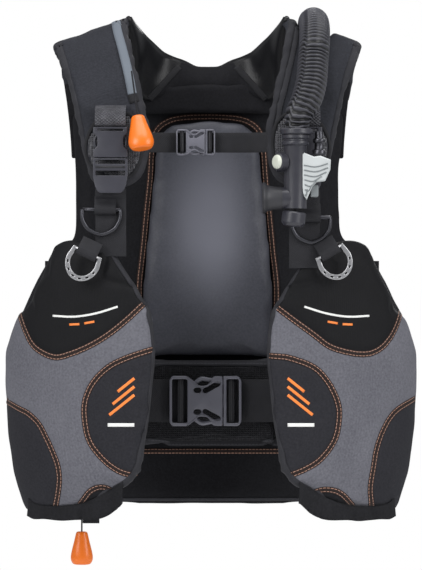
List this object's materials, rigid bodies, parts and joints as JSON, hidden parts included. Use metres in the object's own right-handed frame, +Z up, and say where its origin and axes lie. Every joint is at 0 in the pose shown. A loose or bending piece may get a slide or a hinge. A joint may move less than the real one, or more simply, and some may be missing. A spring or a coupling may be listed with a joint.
{
  "type": "buoyancy compensator vest",
  "caption": "Inflatable diving vest: air cell, two front lobes, padded straps with buckles, corrugated hose with inflator, dump valves, D-rings and a tank band.",
  "frame": {"origin": "centre of the tank pad's rear face, where the air cylinder rests", "axes": "+Z up along the wearer, +Y behind the wearer towards the cylinder, +X to the wearer's left"},
  "size_m": [0.504, 0.4739, 0.69],
  "materials": {
    "back_fabric": "black woven nylon",
    "shell_fabric": "grey woven nylon",
    "tongue_fabric": "charcoal woven nylon with a sheen",
    "pad_fabric": "charcoal woven nylon over foam",
    "mesh_fabric": "ribbed spacer mesh",
    "webbing": "woven polyester webbing",
    "hard_plastic": "moulded black plastic",
    "soft_rubber": "matt black rubber",
    "dark_metal": "dark coated steel",
    "bright_metal": "satin stainless steel",
    "buckle_plastic": "grey acetal",
    "orange_grip": "orange soft-touch plastic",
    "cord": "braided line",
    "pale_plastic": "off-white plastic",
    "grey_plastic": "light grey plastic"
  },
  "bodies": {
    "vest": {"back_cell": "back_fabric", "right_lobe": "shell_fabric", "left_lobe": "shell_fabric", "back_pad": "tongue_fabric", "neck_pad": "pad_fabric", "lumbar_pad": "mesh_fabric", "right_shoulder_pad": "pad_fabric", "left_shoulder_pad": "pad_fabric", "right_shoulder_webbing": "webbing", "left_shoulder_webbing": "webbing", "right_lower_strap": "webbing", "left_lower_strap": "webbing", "right_chest_webbing": "webbing", "left_chest_webbing": "webbing", "right_waist_webbing": "webbing", "left_waist_webbing": "webbing", "tank_band": "webbing", "right_lobe_ring_tab": "webbing", "left_lobe_ring_tab": "webbing", "carry_handle": "webbing", "backplate": "hard_plastic", "tank_pad": "soft_rubber", "cam_buckle_frame": "dark_metal", "cam_buckle_pin": "bright_metal", "waist_buckle_socket": "buckle_plastic", "chest_buckle_socket": "buckle_plastic", "right_shoulder_buckle_socket": "buckle_plastic", "left_shoulder_buckle_socket": "buckle_plastic", "shoulder_valve_body": "hard_plastic", "shoulder_valve_cap": "hard_plastic", "lower_valve_body": "hard_plastic", "lower_valve_cap": "hard_plastic", "hose_elbow": "hard_plastic", "hose_upper": "soft_rubber"},
    "waist_tongue": {"waist_buckle_tongue": "buckle_plastic"},
    "chest_tongue": {"chest_buckle_tongue": "buckle_plastic"},
    "right_shoulder_tongue": {"right_shoulder_buckle_tongue": "buckle_plastic"},
    "left_shoulder_tongue": {"left_shoulder_buckle_tongue": "buckle_plastic"},
    "right_strap_ring": {"right_shoulder_d_ring": "dark_metal"},
    "left_strap_ring": {"left_shoulder_d_ring": "dark_metal"},
    "right_lobe_ring": {"right_lobe_d_ring": "bright_metal"},
    "left_lobe_ring": {"left_lobe_d_ring": "bright_metal"},
    "shoulder_pull": {"shoulder_dump_knob": "orange_grip", "shoulder_dump_cord": "cord"},
    "lower_pull": {"lower_dump_knob": "orange_grip", "lower_dump_cord": "cord"},
    "shoulder_poppet": {"shoulder_valve_poppet": "pale_plastic"},
    "lower_poppet": {"lower_valve_poppet": "pale_plastic"},
    "inflator": {"hose_lower": "soft_rubber", "hose_collar": "hard_plastic", "inflator_body": "hard_plastic", "mouthpiece": "soft_rubber", "inflate_housing": "grey_plastic", "inflator_nipple": "bright_metal", "inflator_end_cap": "hard_plastic"},
    "deflate_key": {"deflate_button": "pale_plastic"},
    "inflate_key": {"inflate_button": "buckle_plastic"},
    "cam_lever": {"cam_buckle_lever": "hard_plastic"}
  },
  "joints": [
    {"name": "waist_buckle_release", "type": "slide", "parent": "vest", "child": "waist_tongue", "axis": [1, 0, 0], "range_m": [0, 0.04]},
    {"name": "chest_buckle_release", "type": "slide", "parent": "vest", "child": "chest_tongue", "axis": [1, 0, 0], "range_m": [0, 0.024]},
    {"name": "right_shoulder_buckle_release", "type": "slide", "parent": "vest", "child": "right_shoulder_tongue", "axis": [0, 0, -1], "range_m": [0, 0.016]},
    {"name": "left_shoulder_buckle_release", "type": "slide", "parent": "vest", "child": "left_shoulder_tongue", "axis": [0, 0, -1], "range_m": [0, 0.016]},
    {"name": "right_strap_ring_swing", "type": "hinge", "parent": "vest", "child": "right_strap_ring", "pos_m": [-0.1303, -0.2352, 0.0895], "axis": [-1, 0, 0], "range_deg": [0, 80]},
    {"name": "left_strap_ring_swing", "type": "hinge", "parent": "vest", "child": "left_strap_ring", "pos_m": [0.1184, -0.2386, 0.08], "axis": [-1, 0, 0], "range_deg": [0, 50]},
    {"name": "right_lobe_ring_swing", "type": "hinge", "parent": "vest", "child": "right_lobe_ring", "pos_m": [-0.147, -0.2414, 0.037], "axis": [-0.9048, 0, 0.4259], "range_deg": [0, 110]},
    {"name": "left_lobe_ring_swing", "type": "hinge", "parent": "vest", "child": "left_lobe_ring", "pos_m": [0.141, -0.2414, 0.038], "axis": [-0.8678, 0, -0.4969], "range_deg": [0, 110]},
    {"name": "shoulder_dump_pull", "type": "slide", "parent": "vest", "child": "shoulder_pull", "axis": [0.1319, -0.3856, -0.9132], "range_m": [0, 0.008], "stiffness_N_per_m": 300},
    {"name": "lower_dump_pull", "type": "slide", "parent": "vest", "child": "lower_pull", "axis": [0, 0, -1], "range_m": [0, 0.008], "stiffness_N_per_m": 300},
    {"name": "shoulder_poppet_lift", "type": "slide", "parent": "vest", "child": "shoulder_poppet", "axis": [0, 1, 0], "range_m": [0, 0.008]},
    {"name": "lower_poppet_lift", "type": "slide", "parent": "vest", "child": "lower_poppet", "axis": [0, 1, 0], "range_m": [0, 0.008]},
    {"name": "inflator_lift", "type": "hinge", "parent": "vest", "child": "inflator", "pos_m": [0.1225, -0.224, 0.268], "axis": [-1, 0, 0], "range_deg": [0, 75], "stiffness_Nm_per_rad": 0.6},
    {"name": "deflate_press", "type": "slide", "parent": "inflator", "child": "deflate_key", "axis": [1, 0, 0], "range_m": [0, 0.003], "stiffness_N_per_m": 400},
    {"name": "inflate_press", "type": "slide", "parent": "inflator", "child": "inflate_key", "axis": [-1, 0, 0], "range_m": [0, 0.003], "stiffness_N_per_m": 400},
    {"name": "cam_lever_open", "type": "hinge", "parent": "vest", "child": "cam_lever", "pos_m": [0.109, 0.07, 0], "axis": [0, 0, -1], "range_deg": [0, 110], "stiffness_Nm_per_rad": 0.02}
  ],
  "couplings": [
    {"joint": "shoulder_poppet_lift", "follows": "shoulder_dump_pull", "ratio": 1},
    {"joint": "lower_poppet_lift", "follows": "lower_dump_pull", "ratio": 1}
  ]
}
